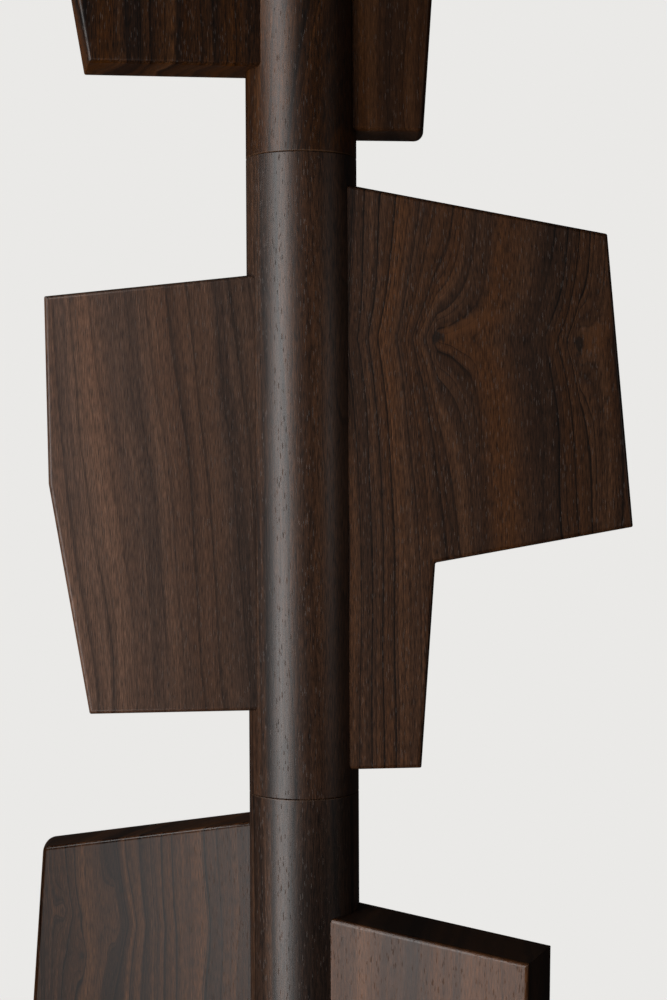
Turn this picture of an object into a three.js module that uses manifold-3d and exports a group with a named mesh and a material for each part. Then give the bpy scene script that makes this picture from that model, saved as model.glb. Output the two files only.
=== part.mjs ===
// A screen post of stacked round sections, each with a plain and a stepped wing and its own turn.
// Millimetres, +Z up. The axis of the post is the Z axis, and the foot's end face lies at z = 0.
import * as THREE from "three";
import { mergeVertices } from "three/addons/utils/BufferGeometryUtils.js";
import Module from "manifold-3d";

// Post
const POST_RADIUS = 30;
const SECTION_HEIGHT = 344;
const POST_END_EASE = 0.8;
const POST_SIDES = 96;

// Boards of the wings
const WING_THICKNESS = 34;
const ARRIS_RADIUS = 2.5;
const ARRIS_STEPS = 3;

// The gap left between pieces that touch
const GAP = 0.3;

// How far a wing's outline runs into the post before the post's round is cut out of it
const WING_ROOT = POST_RADIUS / 2;

// Outlines of the two wings, as [distance from the post's axis, height above the section's lower end],
// from the top of the root round to its bottom. The plain wing leans in below a slight bend, and the stepped
// wing drops to a narrow leg. On a turned section, a stepped wing's upright edges slant between the board's
// faces, and its outline is that of the smaller face, the one seen from the front.
const PLAIN_OUTLINE = [
  [WING_ROOT, 281.5],
  [138, 269.5],
  [136.5, 169],
  [115.5, 44.5],
  [WING_ROOT, 46.2],
];
const STEPPED_OUTLINE = [
  [WING_ROOT, 330.2],
  [164, 301.5],
  [178, 144.4],
  [71.5, 125.5],
  [63.7, 14.5],
  [WING_ROOT, 13.6],
];

// Each section's turn about the post's axis, and the slant of its stepped wing's upright edges, in degrees,
// from the foot up
const SECTIONS = [
  { name: "bottom", turn: 152.5, slant: -36 },
  { name: "middle", turn: 0, slant: 0 },
  { name: "top", turn: 11.5, slant: 14.3 },
];

const postWood = new THREE.MeshStandardMaterial({
  color: 0x3b2a21,
  roughness: 0.4,
  metalness: 0,
});
const plainWood = new THREE.MeshStandardMaterial({
  color: 0x4a3428,
  roughness: 0.45,
  metalness: 0,
});
const steppedWood = new THREE.MeshStandardMaterial({
  color: 0x523526,
  roughness: 0.45,
  metalness: 0,
});

const wasm = await Module();
wasm.setup();

// A closed geometry as a solid that can be cut.
function toSolid(geometry) {
  const bare = geometry.clone();
  bare.deleteAttribute("normal");
  bare.deleteAttribute("uv");
  const merged = mergeVertices(bare);
  return new wasm.Manifold(
    new wasm.Mesh({
      numProp: 3,
      vertProperties: merged.getAttribute("position").array,
      triVerts: new Uint32Array(merged.index.array),
    }),
  );
}

// A cut solid as a geometry again.
function toGeometry(solid) {
  const mesh = solid.getMesh();
  const geometry = new THREE.BufferGeometry();
  geometry.setAttribute(
    "position",
    new THREE.BufferAttribute(new Float32Array(mesh.vertProperties), 3),
  );
  geometry.setIndex(new THREE.BufferAttribute(new Uint32Array(mesh.triVerts), 1));
  geometry.computeVertexNormals();
  return geometry;
}

// A round post section standing on z = 0, with eased rims.
function postGeometry() {
  const height = SECTION_HEIGHT - GAP;
  const profile = [
    [0, 0],
    [POST_RADIUS - POST_END_EASE, 0],
    [POST_RADIUS, POST_END_EASE],
    [POST_RADIUS, height - POST_END_EASE],
    [POST_RADIUS - POST_END_EASE, height],
    [0, height],
  ].map(([radius, z]) => new THREE.Vector2(radius, z));
  return new THREE.LatheGeometry(profile, POST_SIDES).rotateX(Math.PI / 2);
}

// The round that is cut out of a wing's root, so that the wing stops just short of the post.
function copeSolid() {
  const radius = POST_RADIUS + GAP;
  const cutter = new THREE.CylinderGeometry(radius, radius, 2 * SECTION_HEIGHT, POST_SIDES);
  cutter.rotateX(Math.PI / 2).translate(0, 0, SECTION_HEIGHT / 2);
  return toSolid(cutter);
}

// The point where two lines cross, each given by two points on it.
function crossing([a, b], [c, d]) {
  const [ux, uz] = [b[0] - a[0], b[1] - a[1]];
  const [vx, vz] = [d[0] - c[0], d[1] - c[1]];
  const along = ((c[0] - a[0]) * vz - (c[1] - a[1]) * vx) / (ux * vz - uz * vx);
  return [a[0] + along * ux, a[1] + along * uz];
}

// An outline with its upright edges moved outwards by a distance, and its other edges only made longer.
function widened(outline, distance) {
  const edges = outline.slice(1).map((end, i) => {
    const start = outline[i];
    const upright = Math.abs(end[1] - start[1]) > Math.abs(end[0] - start[0]);
    return [start, end].map(([out, z]) => [upright ? out + distance : out, z]);
  });
  const corners = edges.slice(1).map((edge, i) => crossing(edges[i], edge));
  return [outline[0], ...corners, outline[outline.length - 1]];
}

// Slants a board's upright edges: they move outwards by slant for each millimetre from the smaller face to
// the larger one, which is on the +Y side for a slant above zero and on the -Y side for one below.
function slantEdges(board, outline, side, slant) {
  const wide = widened(outline, Math.abs(slant) * WING_THICKNESS);
  const points = board.getAttribute("position");
  for (let i = 0; i < points.count; i += 1) {
    const [x, y, z] = [points.getX(i), points.getY(i), points.getZ(i)];
    const away = outline.map(([out, height]) => Math.hypot(side * x - out, z - height));
    const corner = away.indexOf(Math.min(...away));
    const depth = 0.5 + (Math.sign(slant) * y) / WING_THICKNESS;
    points.setX(i, x + side * depth * (wide[corner][0] - outline[corner][0]));
    points.setZ(i, z + depth * (wide[corner][1] - outline[corner][1]));
  }
}

// A flat board with rounded arrises, upright in the XZ plane on one side of the post, with its root coped
// to it. side is 1 for a wing along +X and -1 for one along -X.
function wingGeometry(outline, side, slant) {
  const shape = new THREE.Shape(outline.map(([out, z]) => new THREE.Vector2(side * out, z)));
  const board = new THREE.ExtrudeGeometry(shape, {
    depth: WING_THICKNESS - 2 * ARRIS_RADIUS,
    steps: 1,
    bevelEnabled: true,
    bevelThickness: ARRIS_RADIUS,
    bevelSize: ARRIS_RADIUS,
    bevelOffset: -ARRIS_RADIUS,
    bevelSegments: ARRIS_STEPS,
  });
  board.translate(0, 0, ARRIS_RADIUS - WING_THICKNESS / 2).rotateX(Math.PI / 2);
  slantEdges(board, outline, side, slant);
  return toGeometry(toSolid(board).subtract(copeSolid()));
}

const post = postGeometry();
const plainWing = wingGeometry(PLAIN_OUTLINE, -1, 0);

const screenPost = new THREE.Group();
SECTIONS.forEach((section, level) => {
  const slant = Math.tan(THREE.MathUtils.degToRad(section.slant));
  const steppedWing = wingGeometry(STEPPED_OUTLINE, 1, slant);
  const group = new THREE.Group();
  group.position.z = level * SECTION_HEIGHT;
  group.rotation.z = THREE.MathUtils.degToRad(section.turn);
  for (const [name, geometry, material] of [
    ["post_section", post, postWood],
    ["plain_wing", plainWing, plainWood],
    ["stepped_wing", steppedWing, steppedWood],
  ]) {
    const mesh = new THREE.Mesh(geometry, material);
    mesh.name = `${section.name}_${name}`;
    group.add(mesh);
  }
  screenPost.add(group);
});

export default screenPost;
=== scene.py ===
"""A screen post in dark walnut: stacked round sections, each with a plain and a stepped wing."""
import math

import bmesh
import bpy
from mathutils import Matrix, Vector


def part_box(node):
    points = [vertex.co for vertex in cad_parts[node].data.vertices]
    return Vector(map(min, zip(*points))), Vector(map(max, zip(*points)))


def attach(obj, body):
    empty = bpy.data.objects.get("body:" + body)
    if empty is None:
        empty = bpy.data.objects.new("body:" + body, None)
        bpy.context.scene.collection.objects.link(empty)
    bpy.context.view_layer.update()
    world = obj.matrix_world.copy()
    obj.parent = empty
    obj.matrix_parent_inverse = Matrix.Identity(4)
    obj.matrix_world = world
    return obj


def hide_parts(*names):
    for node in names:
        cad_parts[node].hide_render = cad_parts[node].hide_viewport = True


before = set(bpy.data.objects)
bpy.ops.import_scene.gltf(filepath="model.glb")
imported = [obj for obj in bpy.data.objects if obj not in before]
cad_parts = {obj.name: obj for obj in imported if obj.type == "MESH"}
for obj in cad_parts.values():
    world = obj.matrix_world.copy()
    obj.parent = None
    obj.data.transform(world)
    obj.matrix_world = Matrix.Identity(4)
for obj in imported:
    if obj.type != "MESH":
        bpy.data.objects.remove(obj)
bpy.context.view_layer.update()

# Sizes are in millimetres, as in the part's source, and become metres where a mesh is made.
MM = 0.001
WING_THICKNESS = 34
ARRIS_RADIUS = 2.5
ARRIS_STEPS = 6
CORNER_EASE = 0.7
CORNER_EASE_STEPS = 2
CORNER_STEPS = 12
RIM_EASE = 0.6
RIM_STEPS = 4
SEAM_GAP = 0.1
GLUE_LINE = 0.12
ROUND_SIDES = 192

# The wood that a block has beyond its board's outline, before it is sawn.
SAW_WASTE = 1

# Edges sharper than SHARP_ANGLE are eased, and stay sharp in the shading. Flats that differ by less than
# FLAT_ANGLE become one face. Both are in degrees.
SHARP_ANGLE = 40
FLAT_ANGLE = 0.5

# Points closer than this are in one place, in metres. The saw cuts need a finer measure.
SAME_PLACE = 1e-6
SAW_TOLERANCE = 1e-7

# A wing's outline as (distance from the post's axis, height above the section's lower end), from the top
# of its root to the bottom of its root, which lies inside the post until the post's round is cut out of
# the board. The outline is that of the front face, the one that the photograph shows.
ROOT = 15
PLAIN_OUTLINE = [(ROOT, 281.5), (138, 269.5), (136.5, 169), (115.5, 44.5), (ROOT, 46.2)]
STEPPED_OUTLINE = [(ROOT, 330.2), (164, 301.5), (178, 144.4), (71.5, 125.5), (63.7, 14.5), (ROOT, 13.6)]

# Each section's turn about the post's axis, and the slant of its stepped wing's upright edges, in degrees.
SECTION_TURN = {"bottom": 152.5, "middle": 0.0, "top": 11.5}
EDGE_SLANT = {"bottom": -36.0, "middle": 0.0, "top": 14.3}

# Where those edges slant, the wing's outer corners are rounded, by these radii on its front and back face.
CORNER_RADII = {"bottom": (3.0, 13.0), "top": (3.0, 6.0)}

# The bottom section's upper edges fall a little to the front: how much lower than the outline they are on
# the front face, and how much they rise from there to the back face.
FRONT_DROP = {"bottom": 1.3, "middle": 0.0, "top": 0.0}
BACK_RISE = {"bottom": 2.5, "middle": 0.0, "top": 0.0}


def section_foot(section):
    """The height of a section's lower end, in metres, read from the frame."""
    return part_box(f"{section}_post_section")[0][2]


def post_size():
    """The radius and the length of a post section, in metres, read from the frame."""
    low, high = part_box("middle_post_section")
    return (high[0] - low[0]) / 2, high[2] - low[2]


# Modelling


def focus(piece):
    """Makes one object the only selected one, and the active one."""
    bpy.ops.object.select_all(action="DESELECT")
    piece.select_set(True)
    bpy.context.view_layer.objects.active = piece


def new_piece(name):
    """Names the primitive that was just added."""
    piece = bpy.context.active_object
    piece.name = name
    piece.data.name = name
    return piece


def apply_modifier(piece, kind, **settings):
    """Adds a modifier with these settings and applies it."""
    focus(piece)
    modifier = piece.modifiers.new(kind.lower(), kind)
    for key, value in settings.items():
        setattr(modifier, key, value)
    bpy.ops.object.modifier_apply(modifier=modifier.name)


def cut_away(piece, waste):
    """Cuts one solid out of another and throws the cutter away."""
    apply_modifier(piece, "BOOLEAN", operation="DIFFERENCE", solver="EXACT", object=waste)
    bpy.data.objects.remove(waste)


def bevel_edges(piece, wanted, radius, steps):
    """Rounds the edges whose two ends satisfy wanted."""
    focus(piece)
    bpy.ops.object.mode_set(mode="EDIT")
    bpy.ops.mesh.select_mode(type="EDGE")
    bpy.ops.mesh.select_all(action="DESELECT")
    sheet = bmesh.from_edit_mesh(piece.data)
    for edge in sheet.edges:
        edge.select_set(wanted(*(corner.co for corner in edge.verts)))
    bmesh.update_edit_mesh(piece.data)
    bpy.ops.mesh.bevel(offset=radius, segments=steps, profile=0.5, clamp_overlap=False)
    bpy.ops.object.mode_set(mode="OBJECT")


def smooth(piece):
    """Shades rounded edges smooth and leaves the flats flat."""
    focus(piece)
    bpy.ops.object.shade_smooth_by_angle(angle=math.radians(SHARP_ANGLE))
    apply_modifier(piece, "WEIGHTED_NORMAL", keep_sharp=True, weight=100)


def edge_normal(start, end):
    """The outward normal of an outline's edge, as (out, up)."""
    return Vector((start[1] - end[1], end[0] - start[0])).normalized()


def is_upright(normal):
    """Whether an edge with this normal runs up and down rather than in and out."""
    return abs(normal.x) > abs(normal.y)


def front_face(section):
    """The place across a board's thickness of the face that the photograph shows."""
    return -math.copysign(WING_THICKNESS / 2, EDGE_SLANT[section])


def front_outline(outline, section):
    """An outline with its upper edge lowered as the section's front face has it."""
    drop = FRONT_DROP[section]
    return [(out, up - drop) for out, up in outline[:2]] + outline[2:]


def edge_shift(normal, section, slant):
    """How far an edge moves from the front face to the back face, as (out, up)."""
    if is_upright(normal):
        return Vector((WING_THICKNESS * slant, 0))
    return Vector((0, BACK_RISE[section] if normal.y > 0 else 0))


def outline_cuts(outline, side, section, slant=0):
    """The saw cuts along an outline, as points and outward normals in metres."""
    face = front_face(section)
    cuts = []
    for start, end in zip(outline, outline[1:]):
        normal = edge_normal(start, end)
        tilt = normal.dot(edge_shift(normal, section, slant)) / (2 * face)
        point = Vector((side * start[0], face, start[1])) * MM
        cuts.append((point, Vector((side * normal.x, tilt, normal.y)).normalized()))
    return cuts


def corner_cuts(outline, at, section, slant):
    """The fan of cuts that rounds one outer corner, with one radius in front and one at the back."""
    radii = CORNER_RADII[section]
    before, corner, after = (Vector(outline[at + step]) for step in (-1, 0, 1))
    first, last = edge_normal(before, corner), edge_normal(corner, after)
    moved = [normal.dot(edge_shift(normal, section, slant)) for normal in (first, last)]
    shift = Vector((moved[0] * last.y - moved[1] * first.y, first.x * moved[1] - last.x * moved[0]))
    shift /= first.x * last.y - first.y * last.x
    inset = (first + last) / (1 + first.dot(last))
    near_centre = corner - radii[0] * inset
    far_centre = corner + shift - radii[1] * inset
    face = front_face(section)
    cuts = []
    for step in range(1, CORNER_STEPS):
        normal = first.slerp(last, step / CORNER_STEPS)
        near = near_centre + radii[0] * normal
        far = far_centre + radii[1] * normal
        tilt = normal.dot(far - near) / (2 * face)
        point = Vector((near.x, face, near.y)) * MM
        cuts.append((point, Vector((normal.x, tilt, normal.y)).normalized()))
    return cuts


def sawn_block(name, low, high, cuts):
    """A block between two corners, in millimetres, sawn off on the outer side of each cut."""
    low, high = Vector(low) * MM, Vector(high) * MM
    bpy.ops.object.select_all(action="DESELECT")
    bpy.ops.mesh.primitive_cube_add(size=1, location=(low + high) / 2)
    block = new_piece(name)
    block.scale = high - low
    bpy.ops.object.transform_apply(location=True, rotation=True, scale=True)
    bpy.ops.object.mode_set(mode="EDIT")
    for point, normal in cuts:
        bpy.ops.mesh.select_all(action="SELECT")
        bpy.ops.mesh.bisect(
            plane_co=point, plane_no=normal, use_fill=True, clear_outer=True, threshold=SAW_TOLERANCE
        )
    bpy.ops.object.mode_set(mode="OBJECT")
    return block


def round_bar(name, radius, low, high):
    """A plain round bar on the post's axis between two heights, all in metres."""
    bpy.ops.object.select_all(action="DESELECT")
    bpy.ops.mesh.primitive_cylinder_add(
        vertices=ROUND_SIDES, radius=radius, depth=high - low, location=(0, 0, (low + high) / 2)
    )
    bar = new_piece(name)
    bpy.ops.object.transform_apply(location=True, rotation=True, scale=True)
    return bar


def merge_flats(board):
    """Makes each flat of a board one face."""
    focus(board)
    bpy.ops.object.mode_set(mode="EDIT")
    bpy.ops.mesh.select_all(action="SELECT")
    bpy.ops.mesh.dissolve_degenerate(threshold=SAME_PLACE)
    bpy.ops.mesh.select_all(action="SELECT")
    bpy.ops.mesh.dissolve_limited(angle_limit=math.radians(FLAT_ANGLE))
    bpy.ops.object.mode_set(mode="OBJECT")


def finish_board(board):
    """Rounds a sawn board's arrises, eases its corners and copes its root to the post."""
    face = WING_THICKNESS / 2 * MM

    def is_arris(a, b):
        leaves_root = max(abs(a.x), abs(b.x)) > ROOT * MM + SAME_PLACE
        on_a_face = abs(abs(a.y) - face) < SAME_PLACE and abs(a.y - b.y) < SAME_PLACE
        return leaves_root and on_a_face

    bevel_edges(board, is_arris, ARRIS_RADIUS * MM, ARRIS_STEPS)
    apply_modifier(
        board,
        "BEVEL",
        width=CORNER_EASE * MM,
        segments=CORNER_EASE_STEPS,
        limit_method="ANGLE",
        angle_limit=math.radians(SHARP_ANGLE),
    )
    radius, length = post_size()
    cut_away(board, round_bar("cope", radius + GLUE_LINE * MM, -length, 2 * length))
    merge_flats(board)
    smooth(board)
    return board


def plain_board(section):
    """A section's plain wing, sawn along its convex outline, on the -X side of the post."""
    half = WING_THICKNESS / 2
    width = max(out for out, _ in PLAIN_OUTLINE) + SAW_WASTE
    height = max(up for _, up in PLAIN_OUTLINE) + SAW_WASTE
    cuts = outline_cuts(front_outline(PLAIN_OUTLINE, section), -1, section)
    return finish_board(sawn_block("plain_board", (-width, -half, 0), (-ROOT, half, height), cuts))


def join_boards(board, other):
    """Joins two boards that overlap in one plane into one, with no seam left on its faces."""
    apply_modifier(board, "BOOLEAN", operation="UNION", solver="EXACT", object=other)
    bpy.data.objects.remove(other)
    merge_flats(board)


def stepped_board(section):
    """A section's stepped wing, its broad part and its leg sawn and joined, on the +X side of the post."""
    slant = math.tan(math.radians(abs(EDGE_SLANT[section])))
    outline = front_outline(STEPPED_OUTLINE, section)
    half = WING_THICKNESS / 2
    width = max(out for out, _ in outline) + WING_THICKNESS * slant
    height = max(up for _, up in STEPPED_OUTLINE)
    top, outer, under, leg_side, bottom = outline_cuts(outline, 1, section, slant)
    broad_cuts = [top, outer, under]
    leg_cuts = [leg_side, bottom]
    if section in CORNER_RADII:
        broad_cuts += corner_cuts(outline, 1, section, slant)
        broad_cuts += corner_cuts(outline, 2, section, slant)
        leg_cuts += corner_cuts(outline, 4, section, slant)
    outer_corner = (width + SAW_WASTE, half, height + SAW_WASTE)
    board = sawn_block("stepped_board", (ROOT, -half, 0), outer_corner, broad_cuts)
    leg = sawn_block("leg", (ROOT, -half, 0), (width, half, height / 2), leg_cuts)
    join_boards(board, leg)
    return finish_board(board)


def turned_post(section):
    """A post section with eased rims, long enough to all but touch the section above it."""
    radius, length = post_size()
    if section != "top":
        length = section_foot("top") - section_foot("middle") - SEAM_GAP * MM
    post = round_bar("turned_post", radius, 0, length)

    def on_a_rim(a, b):
        return abs(a.z - b.z) < SAME_PLACE

    bevel_edges(post, on_a_rim, RIM_EASE * MM, RIM_STEPS)
    smooth(post)
    return post


def set_in_section(piece, section, name):
    """Names a piece, and turns and lifts it to its place in a section, with the place in its mesh."""
    piece.name = name
    piece.data.name = name
    piece.rotation_euler.z = math.radians(SECTION_TURN[section])
    piece.location.z = section_foot(section)
    focus(piece)
    bpy.ops.object.transform_apply(location=True, rotation=True, scale=True)


# Wood
DARK_WALNUT = (0.023, 0.0115, 0.0075, 1)
MIDDLE_WALNUT = (0.064, 0.0298, 0.0165, 1)
PALE_WALNUT = (0.13, 0.06, 0.031, 1)
WARM_WALNUT = (0.112, 0.043, 0.0165, 1)
OPEN_PORE = (0.085, 0.055, 0.04, 1)
# The paler rim colour is partly rubbed wood and partly a painted highlight.
WORN_RIM_AND_HIGHLIGHT = (0.2, 0.11, 0.062, 1)
KNOT_FLARE = (0.14, 0.052, 0.017, 1)
KNOT_HEART = (0.012, 0.008, 0.006, 1)


class Layout:
    """Lays out the nodes of one tree."""

    def __init__(self, tree):
        self.tree = tree

    def feed(self, socket, value):
        if isinstance(value, bpy.types.NodeSocket):
            self.tree.links.new(value, socket)
        else:
            socket.default_value = value

    def node(self, kind, inputs=(), **settings):
        made = self.tree.nodes.new(kind)
        for key, value in settings.items():
            setattr(made, key, value)
        for key, value in dict(inputs).items():
            self.feed(made.inputs[key], value)
        return made

    def math(self, operation, *values):
        return self.node("ShaderNodeMath", enumerate(values), operation=operation).outputs[0]

    def vector(self, operation, *values):
        return self.node("ShaderNodeVectorMath", enumerate(values), operation=operation)

    def stretched(self, position, x, y, z):
        return self.vector("MULTIPLY", position, (x, y, z)).outputs["Vector"]

    def joined(self, x, y, z):
        return self.node("ShaderNodeCombineXYZ", {"X": x, "Y": y, "Z": z}).outputs[0]

    def noise(self, position, detail=2.0, roughness=0.5):
        inputs = {"Vector": position, "Scale": 1.0, "Detail": detail, "Roughness": roughness}
        return self.node("ShaderNodeTexNoise", inputs).outputs[0]

    def ease(self, value, low, high):
        inputs = {"Value": value, "From Min": low, "From Max": high}
        return self.node("ShaderNodeMapRange", inputs, interpolation_type="SMOOTHSTEP").outputs[0]

    def blend(self, factor, first, second, blend_type="MIX"):
        mixer = self.node("ShaderNodeMix", data_type="RGBA", blend_type=blend_type)
        self.feed(mixer.inputs[0], factor)
        self.feed(mixer.inputs[6], first)
        self.feed(mixer.inputs[7], second)
        return mixer.outputs[2]


def new_group(name, inputs, outputs):
    """An empty shader node group, with its layout, its input sockets by name and its output node."""
    tree = bpy.data.node_groups.new(name, "ShaderNodeTree")
    for socket, kind, value in inputs:
        made = tree.interface.new_socket(socket, in_out="INPUT", socket_type=kind)
        if value is not None:
            made.default_value = value
    for socket, kind in outputs:
        tree.interface.new_socket(socket, in_out="OUTPUT", socket_type=kind)
    layout = Layout(tree)
    return tree, layout, layout.node("NodeGroupInput").outputs, layout.node("NodeGroupOutput").inputs


def knot_group():
    """How growth lines bow round a knot, in millimetres, with its dark heart and its warm flare."""
    tree, n, given, out = new_group(
        "knot",
        [
            ("Position", "NodeSocketVector", None),
            ("Across", "NodeSocketFloat", 0.0),
            ("Up", "NodeSocketFloat", 0.0),
            ("Reach", "NodeSocketFloat", 20.0),
            ("Near Side", "NodeSocketFloat", 26.0),
            ("Far Side", "NodeSocketFloat", 50.0),
            ("Above", "NodeSocketFloat", 26.0),
            ("Below", "NodeSocketFloat", 48.0),
            ("Heart Width", "NodeSocketFloat", 3.5),
            ("Heart Height", "NodeSocketFloat", 4.5),
            ("Flare Across", "NodeSocketFloat", 17.0),
            ("Flare Slope", "NodeSocketFloat", 0.42),
            ("Flare Length", "NodeSocketFloat", 21.0),
            ("Flare Height", "NodeSocketFloat", 7.0),
        ],
        [("Bend", "NodeSocketFloat"), ("Heart", "NodeSocketFloat"), ("Flare", "NodeSocketFloat")],
    )
    place = n.node("ShaderNodeSeparateXYZ", {0: given["Position"]}).outputs
    across = n.math("SUBTRACT", place["X"], given["Across"])
    up = n.math("SUBTRACT", place["Z"], given["Up"])
    ragged = n.noise(n.stretched(given["Position"], 0.4, 0.4, 0.2), 3.0)

    def fade(distance, before, after, rounding):
        """Falls from one, at the knot, with a different length on either side."""
        past = n.math("GREATER_THAN", distance, 0.0)
        span = n.math("SUBTRACT", after, before)
        length = n.math("MULTIPLY_ADD", past, span, before)
        squared = n.math("MULTIPLY_ADD", distance, distance, rounding * rounding)
        far = n.math("SUBTRACT", n.math("SQRT", squared), rounding)
        return n.math("EXPONENT", n.math("DIVIDE", n.math("MULTIPLY", far, -1.0), length))

    def spot(right, above, width, height):
        """One at a point, falling with ragged edges to nothing at the given half width and half height."""
        distance = n.vector(
            "LENGTH", n.joined(n.math("DIVIDE", right, width), 0.0, n.math("DIVIDE", above, height))
        ).outputs["Value"]
        edge = n.math("MULTIPLY_ADD", n.math("SUBTRACT", ragged, 0.5), 1.6, distance)
        return n.math("SUBTRACT", 1.0, n.ease(edge, 0.35, 1.0))

    sideways = fade(across, given["Near Side"], given["Far Side"], 1.0)
    lengthways = fade(up, given["Below"], given["Above"], 2.0)
    n.feed(out["Bend"], n.math("MULTIPLY", given["Reach"], n.math("MULTIPLY", sideways, lengthways)))
    n.feed(out["Heart"], spot(across, up, given["Heart Width"], given["Heart Height"]))
    flare_up = n.math("SUBTRACT", up, n.math("MULTIPLY", across, given["Flare Slope"]))
    flare_across = n.math("SUBTRACT", across, given["Flare Across"])
    flare = spot(flare_across, flare_up, given["Flare Length"], given["Flare Height"])
    streaks = n.ease(n.noise(n.stretched(given["Position"], 0.5, 0.5, 0.05), 3.0), 0.35, 0.62)
    n.feed(out["Flare"], n.math("MULTIPLY", flare, n.math("MULTIPLY_ADD", streaks, 0.7, 0.3)))
    return tree


def walnut_group():
    """Dark walnut along Z, in millimetres: growth lines, colour bands, fibres, pores, rubbed arrises, and
    painted light and shade on edges, outer ends and rims.
    """
    tree, n, given, out = new_group(
        "walnut",
        [
            ("Position", "NodeSocketVector", None),
            ("Bend", "NodeSocketFloat", 0.0),
            ("Pith Across", "NodeSocketFloat", -160.0),
            ("Pith Behind", "NodeSocketFloat", 70.0),
            ("Log Offset", "NodeSocketFloat", 0.0),
            ("Ring Width", "NodeSocketFloat", 6.0),
            ("Line Depth", "NodeSocketFloat", 0.6),
            ("Band Depth", "NodeSocketFloat", 1.0),
            ("Calm From", "NodeSocketFloat", 1000.0),
            ("Calm To", "NodeSocketFloat", 1000.0),
            ("Lean", "NodeSocketFloat", 0.0),
            ("Waviness", "NodeSocketFloat", 1.0),
            ("Fleck Depth", "NodeSocketFloat", 2.7),
            ("Lightness", "NodeSocketFloat", 1.0),
            ("Outer Painted Light", "NodeSocketFloat", 1.0),
            ("Edge Painted Light", "NodeSocketFloat", 1.0),
            ("Arris Shine", "NodeSocketFloat", 0.06),
            ("Saturation", "NodeSocketFloat", 1.0),
            ("Warmth", "NodeSocketFloat", 0.5),
            ("Dullness", "NodeSocketFloat", 0.42),
            ("Half Thickness", "NodeSocketFloat", WING_THICKNESS / 2),
            ("Rims Apart", "NodeSocketFloat", 344.0),
            ("Rim Wear And Highlight", "NodeSocketFloat", 0.0),
        ],
        [("Colour", "NodeSocketColor"), ("Roughness", "NodeSocketFloat"), ("Height", "NodeSocketFloat")],
    )
    offset = n.joined(given["Log Offset"], 0.0, n.math("MULTIPLY", given["Log Offset"], 3.1))
    spot = n.vector("ADD", given["Position"], offset).outputs["Vector"]
    place = n.node("ShaderNodeSeparateXYZ", {0: given["Position"]}).outputs

    # Growth: the distance from the pith, wavy along the board
    broad = n.math("SUBTRACT", n.noise(n.stretched(spot, 0.016, 0.016, 0.0036), 2.0), 0.5)
    small = n.math("SUBTRACT", n.noise(n.stretched(spot, 0.085, 0.085, 0.009), 1.5), 0.5)
    wave = n.math("MULTIPLY_ADD", broad, 34.0, n.math("MULTIPLY", small, 5.5))
    across = n.math("MULTIPLY_ADD", wave, given["Waviness"], place["X"])
    across = n.math("ADD", across, given["Bend"])
    across = n.math("MULTIPLY_ADD", place["Z"], given["Lean"], across)
    pith_across = n.math("SUBTRACT", across, given["Pith Across"])
    pith_behind = n.math("SUBTRACT", place["Y"], given["Pith Behind"])
    from_pith = n.joined(pith_across, pith_behind, 0.0)
    growth = n.math("ADD", n.vector("LENGTH", from_pith).outputs["Value"], given["Log Offset"])
    uneven = n.noise(n.joined(n.math("MULTIPLY", growth, 0.05), 3.7, 0.0), 2.0)

    def growth_lines(width, phase):
        """Dark lines at the end of each year, some strong and some faint."""
        years = n.math("MULTIPLY_ADD", uneven, 1.5, n.math("DIVIDE", growth, width))
        year = n.math("ADD", n.math("FLOOR", years), phase)
        strength = n.node("ShaderNodeTexWhiteNoise", {"W": year}, noise_dimensions="1D").outputs["Value"]
        season = n.math("FRACT", years)
        slow_darkening = n.math("MULTIPLY", n.ease(season, 0.2, 0.9), 0.4)
        darkening = n.math("MAXIMUM", n.ease(season, 0.74, 0.94), slow_darkening)
        late = n.math("MULTIPLY", darkening, n.math("SUBTRACT", 1.0, n.ease(season, 0.93, 1.0)))
        return n.math("MULTIPLY", late, n.math("MULTIPLY_ADD", strength, 0.7, 0.3))

    strong_lines = growth_lines(given["Ring Width"], 0.5)
    faint_lines = growth_lines(n.math("MULTIPLY", given["Ring Width"], 0.36), 40.5)
    lines = n.math("MAXIMUM", strong_lines, n.math("MULTIPLY", faint_lines, 0.6))
    past_start = n.ease(n.math("SUBTRACT", place["X"], given["Calm From"]), -10.0, 14.0)
    before_end = n.ease(n.math("SUBTRACT", given["Calm To"], place["X"]), -6.0, 6.0)
    calm = n.math("MULTIPLY", past_start, before_end)
    lines = n.math("MULTIPLY", lines, n.math("MULTIPLY_ADD", calm, -0.7, 1.0))

    # Colour bands that follow the growth, and clouds that don't
    slow = n.math("MULTIPLY", place["Z"], 0.0016)
    band = n.noise(n.joined(n.math("MULTIPLY", growth, 0.07), 11.0, slow), 4.0, 0.68)
    hue = n.noise(n.joined(n.math("MULTIPLY", growth, 0.05), 29.0, slow), 2.0)
    cloud = n.noise(n.stretched(spot, 0.05, 0.05, 0.016), 3.0, 0.55)

    # Fibres, flecks and pores along the grain
    fibre = n.noise(n.stretched(spot, 1.0, 1.0, 0.022), 4.0, 0.6)
    fleck = n.noise(n.stretched(spot, 2.0, 2.0, 0.16), 3.0, 0.6)
    cells = n.node("ShaderNodeTexVoronoi", {"Vector": n.stretched(spot, 1.0, 1.0, 0.16), "Scale": 1.0})
    chance = n.node("ShaderNodeSeparateColor", {0: cells.outputs["Color"]}).outputs
    reach = n.math("MULTIPLY_ADD", chance[0], 0.28, 0.06)
    nearness = n.math("DIVIDE", cells.outputs["Distance"], reach)
    pores = n.math("SUBTRACT", 1.0, n.ease(nearness, 0.6, 1.1))
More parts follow.
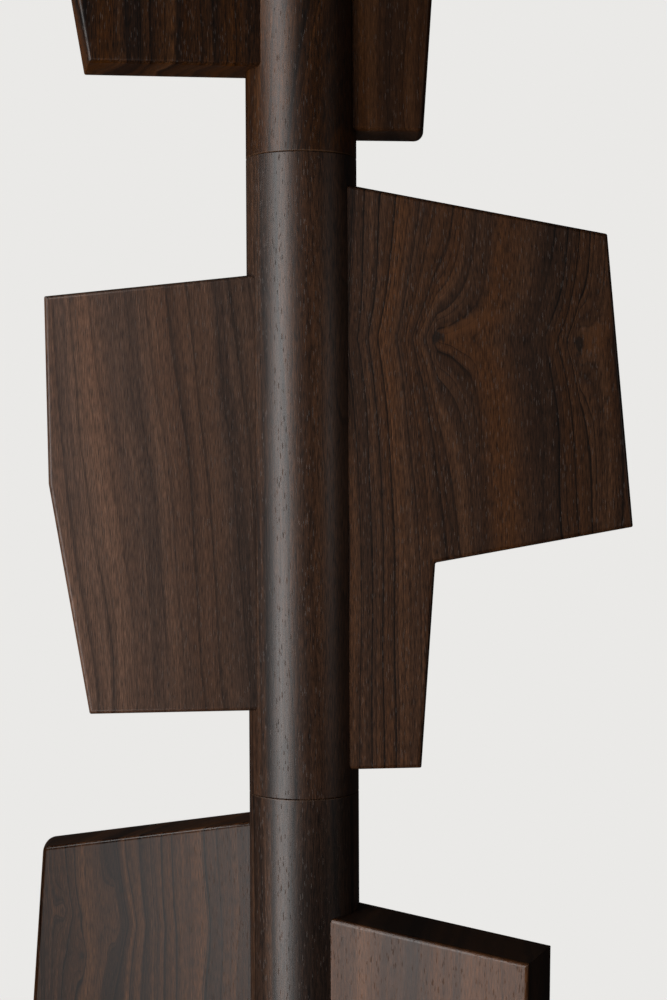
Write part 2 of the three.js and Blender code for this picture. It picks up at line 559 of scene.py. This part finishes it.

    # Arrises, rubbed smoother than the faces, and the rims of a round, painted paler: partly rubbed wood,
    # partly a painted highlight where the rims catch the light
    depth = n.math("SUBTRACT", given["Half Thickness"], n.math("ABSOLUTE", place["Y"]))
    off_face = n.ease(depth, 0.02, 0.15)
    off_edge = n.math("SUBTRACT", 1.0, n.ease(depth, ARRIS_RADIUS - 0.6, ARRIS_RADIUS + 0.2))
    arris = n.math("MULTIPLY", off_face, off_edge)
    from_rim = n.math("MINIMUM", place["Z"], n.math("SUBTRACT", given["Rims Apart"], place["Z"]))
    rim = n.math("SUBTRACT", 1.0, n.ease(from_rim, 0.3, 0.9))

    # Colour
    band_depth = n.math("MULTIPLY", given["Band Depth"], n.math("MULTIPLY_ADD", calm, -0.2, 1.0))
    banded = n.math("MULTIPLY", n.math("SUBTRACT", n.ease(band, 0.3, 0.7), 0.5), band_depth)
    tone = n.math("MULTIPLY_ADD", banded, 0.62, n.math("MULTIPLY_ADD", cloud, 0.35, 0.33))
    tone = n.math("MULTIPLY_ADD", n.math("SUBTRACT", fibre, 0.5), 0.5, tone)
    ramp = n.node("ShaderNodeValToRGB", {0: tone})
    stops = ramp.color_ramp.elements
    stops[0].position = 0.05
    stops[0].color = DARK_WALNUT
    stops[1].position = 0.95
    stops[1].color = PALE_WALNUT
    stops.new(0.5).color = MIDDLE_WALNUT
    warm = n.math("MULTIPLY", n.ease(hue, 0.42, 0.72), given["Warmth"])
    colour = n.blend(warm, ramp.outputs[0], WARM_WALNUT)
    shade = n.math("MULTIPLY_ADD", n.math("SUBTRACT", fleck, 0.5), given["Fleck Depth"], 1.0)
    lined = n.math("SUBTRACT", 1.0, n.math("MULTIPLY", lines, given["Line Depth"]))
    shade = n.math("MULTIPLY", n.math("MAXIMUM", shade, 0.2), n.math("MAXIMUM", lined, 0.15))
    # Painted light: a board grows lighter or darker towards its outer end, as light falls across it from
    # the lamp on the left.
    outward = n.ease(n.math("ABSOLUTE", place["X"]), 30.0, 140.0)
    lightness = n.math("MULTIPLY_ADD", n.math("SUBTRACT", given["Outer Painted Light"], 1.0), outward, 1.0)
    lightness = n.math("MULTIPLY", lightness, given["Lightness"])
    # Painted light and shade: a board's narrow faces, its top, bottom and ends, are made lighter or darker
    # than its broad faces, standing in for light the lamps give them too little or too much.
    on_edge = n.ease(depth, 0.3, ARRIS_RADIUS)
    painted_edge_light = n.math("MULTIPLY_ADD", n.math("SUBTRACT", given["Edge Painted Light"], 1.0), on_edge, 1.0)
    lightness = n.math("MULTIPLY", lightness, painted_edge_light)
    shade = n.math("MULTIPLY", shade, lightness)
    inputs = {"Color": colour, "Saturation": given["Saturation"], "Value": shade}
    colour = n.node("ShaderNodeHueSaturation", inputs).outputs[0]
    colour = n.blend(n.math("MULTIPLY", pores, 0.35), colour, OPEN_PORE)
    # Paler rims: partly rubbed wood, partly a painted highlight where the seams catch the light.
    colour = n.blend(n.math("MULTIPLY", rim, given["Rim Wear And Highlight"]), colour, WORN_RIM_AND_HIGHLIGHT)
    n.feed(out["Colour"], colour)

    # Finish: satin, duller in the pores and brighter on the arrises
    dull = n.math("MULTIPLY_ADD", n.math("SUBTRACT", fibre, 0.5), 0.2, given["Dullness"])
    dull = n.math("MULTIPLY_ADD", pores, 0.3, dull)
    n.feed(out["Roughness"], n.math("SUBTRACT", dull, n.math("MULTIPLY", arris, given["Arris Shine"])))
    relief = n.math("MULTIPLY_ADD", fleck, 0.3, n.math("MULTIPLY", pores, -1.0))
    n.feed(out["Height"], n.math("MULTIPLY_ADD", lines, -0.1, relief))
    return tree


KNOT = knot_group()
WALNUT = walnut_group()


def walnut_material(name, section, wood, gloss, knots):
    """Walnut for one piece, with its place in the log, its colour and its knots in section millimetres."""
    material = bpy.data.materials.new(name)
    material.use_nodes = True
    n = Layout(material.node_tree)
    shader = material.node_tree.nodes["Principled BSDF"]
    inputs = {
        "Vector": n.node("ShaderNodeTexCoord").outputs["Object"],
        "Scale": (1 / MM, 1 / MM, 1 / MM),
        "Rotation": (0, 0, -math.radians(SECTION_TURN[section])),
        "Location": (0, 0, -section_foot(section) / MM),
    }
    position = n.node("ShaderNodeMapping", inputs).outputs[0]
    bend, heart, flare = 0.0, 0.0, 0.0
    for values in knots:
        knot = n.node("ShaderNodeGroup", node_tree=KNOT)
        for key, value in {"Position": position, **values}.items():
            n.feed(knot.inputs[key], value)
        bend = n.math("ADD", knot.outputs["Bend"], bend)
        heart = n.math("MAXIMUM", knot.outputs["Heart"], heart)
        flare = n.math("MAXIMUM", knot.outputs["Flare"], flare)
    grain = n.node("ShaderNodeGroup", node_tree=WALNUT)
    for key, value in {"Position": position, "Bend": bend, **wood}.items():
        n.feed(grain.inputs[key], value)
    colour = grain.outputs["Colour"]
    if knots:
        colour = n.blend(n.math("MULTIPLY", flare, 0.6), colour, KNOT_FLARE)
        colour = n.blend(n.math("MULTIPLY", heart, 0.85), colour, KNOT_HEART)
    n.feed(shader.inputs["Base Color"], colour)
    n.feed(shader.inputs["Roughness"], grain.outputs["Roughness"])
    shader.inputs["Specular IOR Level"].default_value = gloss
    relief = {"Height": grain.outputs["Height"], "Strength": 0.35, "Distance": 0.15 * MM}
    bump = n.node("ShaderNodeBump", relief)
    n.feed(shader.inputs["Normal"], bump.outputs[0])
    return material


# Each piece's wood, by section. Some boards are painted lighter or darker on their narrow faces and towards
# their outer ends, as painted light and shade.
POST_FINISH = {
    "Dullness": 0.41, "Half Thickness": 1000, "Ring Width": 9, "Line Depth": 0.8, "Band Depth": 2.2,
    "Fleck Depth": 4.4, "Warmth": 0.7,
}
POST_WOOD = {
    "bottom": {
        **POST_FINISH, "Log Offset": 210, "Pith Across": -48, "Pith Behind": 60, "Lightness": 0.62,
        "Rim Wear And Highlight": 0.3,
    },
    "middle": {
        **POST_FINISH, "Log Offset": 0, "Pith Across": -52, "Pith Behind": 58, "Lean": 0.07,
        "Lightness": 0.75,
    },
    "top": {
        **POST_FINISH, "Log Offset": 640, "Pith Across": -55, "Pith Behind": 52, "Lean": -0.2,
        "Lightness": 0.88, "Ring Width": 12, "Line Depth": 1.1, "Warmth": 1.0, "Saturation": 1.2,
        "Rim Wear And Highlight": 0.3,
    },
}
PLAIN_WOOD = {
    "bottom": {
        "Log Offset": 330, "Pith Across": 190, "Ring Width": 8, "Line Depth": 0.3, "Fleck Depth": 3.0,
        "Lightness": 1.4, "Edge Painted Light": 0.5, "Saturation": 1.05, "Arris Shine": 0.24,
    },
    "middle": {
        "Log Offset": 80, "Pith Across": 190, "Ring Width": 10, "Line Depth": 0.6, "Lean": 0.09,
        "Waviness": 0.7, "Fleck Depth": 3.4, "Warmth": 0.5, "Lightness": 1.05, "Outer Painted Light": 1.75,
        "Saturation": 0.92,
    },
    "top": {
        "Log Offset": 510, "Pith Across": 190, "Ring Width": 7, "Line Depth": 1.2, "Band Depth": 2.2,
        "Fleck Depth": 5.2, "Warmth": 0.8, "Lightness": 0.66, "Edge Painted Light": 2.0, "Saturation": 1.15,
    },
}
STEPPED_WOOD = {
    "bottom": {
        "Log Offset": 420, "Pith Across": -150, "Ring Width": 9, "Line Depth": 1.3, "Band Depth": 1.5,
        "Fleck Depth": 4.0, "Warmth": 0.35, "Lightness": 0.7, "Edge Painted Light": 3.0, "Saturation": 1.12,
        "Arris Shine": 0.24,
    },
    "middle": {
        "Log Offset": 150, "Pith Across": -150, "Ring Width": 7, "Line Depth": 1.25, "Band Depth": 1.1,
        "Calm From": 90, "Calm To": 134, "Waviness": 0.6, "Fleck Depth": 4.2, "Warmth": 0.8,
        "Lightness": 1.15, "Outer Painted Light": 0.72, "Saturation": 1.05,
    },
    "top": {
        "Log Offset": 730, "Pith Across": -150, "Ring Width": 8, "Line Depth": 0.6, "Band Depth": 1.5,
        "Fleck Depth": 2.8, "Warmth": 0.6, "Lightness": 1.0, "Saturation": 1.12,
    },
}
NO_HEART = {"Heart Width": 0.01, "Heart Height": 0.01}
NO_FLARE = {"Flare Length": 0.01, "Flare Height": 0.01}
KNOTS = {
    "bottom": [
        {
            "Across": 114, "Up": 262, "Reach": 18, "Near Side": 18, "Far Side": 8, "Above": 40, "Below": 22,
            **NO_HEART, **NO_FLARE,
        },
        {
            "Across": 150, "Up": 264, "Reach": 14, "Near Side": 9, "Far Side": 6, "Above": 16, "Below": 14,
            **NO_HEART, **NO_FLARE,
        },
        {
            "Across": 137, "Up": 240, "Reach": 13, "Near Side": 8, "Far Side": 6, "Above": 14, "Below": 22,
            "Heart Width": 2, "Heart Height": 3, **NO_FLARE,
        },
    ],
    "middle": [
        {
            "Across": 73, "Up": 246, "Reach": 12, "Near Side": 18, "Far Side": 40, "Above": 16, "Below": 18,
            "Heart Width": 5, "Heart Height": 4.5,
        },
        {
            "Across": 73, "Up": 246, "Reach": 22,
            "Near Side": 42, "Far Side": 45, "Above": 45, "Below": 100,
            **NO_HEART, **NO_FLARE,
        },
        {
            "Across": 149, "Up": 242, "Reach": 14, "Near Side": 12, "Far Side": 8, "Above": 22, "Below": 30,
            "Heart Width": 3, "Heart Height": 8, "Flare Across": 7, "Flare Length": 9, "Flare Height": 11,
        },
    ],
    "top": [{"Across": 110, "Up": 190, "Reach": 18, **NO_FLARE}],
}
POST_GLOSS = {"bottom": 0.5, "middle": 0.5, "top": 0.43}
BOARD_GLOSS = 0.3


def place_piece(piece, section, kind, node, wood, gloss, knots=()):
    """Sets a finished piece in its section, in its own walnut, on its body and in place of its solid."""
    set_in_section(piece, section, f"{section}_{kind}")
    material = walnut_material(f"{section}_{kind}_walnut", section, wood, gloss, knots)
    piece.data.materials.append(material)
    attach(piece, f"{section}_section")
    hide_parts(f"{section}_{node}")


for section in SECTION_TURN:
    place_piece(
        turned_post(section),
        section,
        kind="turned_post",
        node="post_section",
        wood=POST_WOOD[section],
        gloss=POST_GLOSS[section],
    )
    place_piece(
        plain_board(section),
        section,
        kind="plain_board",
        node="plain_wing",
        wood=PLAIN_WOOD[section],
        gloss=BOARD_GLOSS,
    )
    place_piece(
        stepped_board(section),
        section,
        kind="stepped_board",
        node="stepped_wing",
        wood=STEPPED_WOOD[section],
        gloss=BOARD_GLOSS,
        knots=KNOTS[section],
    )


# Studio

# Lights, in metres, watts and degrees. The azimuth is counted from the camera's side to the right.
LIGHTS = {
    "key": {"azimuth": -44.5, "distance": 1.4, "height": 0.2, "size": (0.74, 1.1), "power": 16.5},
    "upper_sheen": {
        "azimuth": -44.5, "distance": 1.4, "height": 1.15, "size": (0.74, 0.8), "power": 10,
        "diffuse": False,
    },
    "overhead_sheen": {
        "azimuth": -80, "distance": 1.25, "height": 1.65, "size": (1.2, 0.9), "power": 15, "tilt": 48,
        "diffuse": False,
    },
    "fill": {"azimuth": 58, "distance": 1.6, "height": 0.5, "size": (0.3, 0.45), "power": 0.9},
    "back": {
        "azimuth": 180, "distance": 1.8, "height": 0.1, "size": (0.8, 1.0), "power": 6, "glossy": False,
    },
}

# Floor, in metres, and backdrop: what the camera sees, and what lights the post
FLOOR_RADIUS = 0.6
FLOOR_THICKNESS = 0.02
FLOOR_CENTRE = (0, 0, -0.0105)
FLOOR_DARK = (0.62, 0.615, 0.6, 1)
FLOOR_PALE = (0.68, 0.675, 0.66, 1)
BACKDROP_SEEN = (0.823, 0.815, 0.799, 1)
BACKDROP_GLOW = (0.012, 0.012, 0.012, 1)

# Camera: sensor and focal length in millimetres, place in metres, tilt and roll in degrees
SENSOR_WIDTH = 36
FOCAL_LENGTH = 65.7
LENS_SHIFT = 0.0294
EYE = (0.0167, -0.9972, 0.5217)
LOOK_DOWN = 1.98
ROLL = -0.253


def softbox(name, azimuth, distance, height, size, power, tilt=0, diffuse=True, glossy=True):
    """A soft light that faces the post, tilted down, with or without its diffuse light and its sheen."""
    light = bpy.data.lights.new(name, "AREA")
    light.shape = "RECTANGLE"
    light.size, light.size_y = size
    light.energy = power
    lamp = bpy.data.objects.new(name, light)
    bpy.context.collection.objects.link(lamp)
    turn = math.radians(azimuth)
    lamp.location = (distance * math.sin(turn), -distance * math.cos(turn), height)
    lamp.rotation_euler = (math.radians(90 - tilt), 0, turn)
    lamp.visible_camera = False
    lamp.visible_diffuse = diffuse
    lamp.visible_glossy = glossy


def pale_floor():
    """A round pale floor under the post's foot."""
    bpy.ops.object.select_all(action="DESELECT")
    bpy.ops.mesh.primitive_cylinder_add(
        vertices=128, radius=FLOOR_RADIUS, depth=FLOOR_THICKNESS, location=FLOOR_CENTRE
    )
    floor = new_piece("floor")
    material = bpy.data.materials.new("pale_floor")
    material.use_nodes = True
    n = Layout(material.node_tree)
    speckle = n.noise(n.stretched(n.node("ShaderNodeTexCoord").outputs["Object"], 60, 60, 60), 4.0)
    colour = n.blend(speckle, FLOOR_DARK, FLOOR_PALE)
    shader = material.node_tree.nodes["Principled BSDF"]
    n.feed(shader.inputs["Base Color"], colour)
    shader.inputs["Roughness"].default_value = 0.8
    floor.data.materials.append(material)
    floor.visible_shadow = False
    floor.visible_diffuse = False
    floor.visible_glossy = False


def backdrop():
    """An even pale backdrop behind the post that adds almost no light."""
    world = bpy.data.worlds.new("studio")
    bpy.context.scene.world = world
    world.use_nodes = True
    n = Layout(world.node_tree)
    seen = n.node("ShaderNodeLightPath").outputs["Is Camera Ray"]
    colour = n.blend(seen, BACKDROP_GLOW, BACKDROP_SEEN)
    n.feed(world.node_tree.nodes["Background"].inputs["Color"], colour)


def camera():
    """The photograph's view: a long lens just to the right of the post's axis, looking slightly down."""
    lens = bpy.data.cameras.new("camera")
    lens.sensor_width = SENSOR_WIDTH
    lens.lens = FOCAL_LENGTH
    lens.shift_y = LENS_SHIFT
    eye = bpy.data.objects.new("camera", lens)
    bpy.context.collection.objects.link(eye)
    eye.location = EYE
    tilt = Matrix.Rotation(math.radians(90 - LOOK_DOWN), 4, "X")
    roll = Matrix.Rotation(math.radians(ROLL), 4, "Z")
    eye.rotation_euler = (tilt @ roll).to_euler()
    bpy.context.scene.camera = eye


camera()
pale_floor()
backdrop()
for light_name, light_values in LIGHTS.items():
    softbox(light_name, **light_values)
bpy.context.scene.view_settings.view_transform = "Standard"
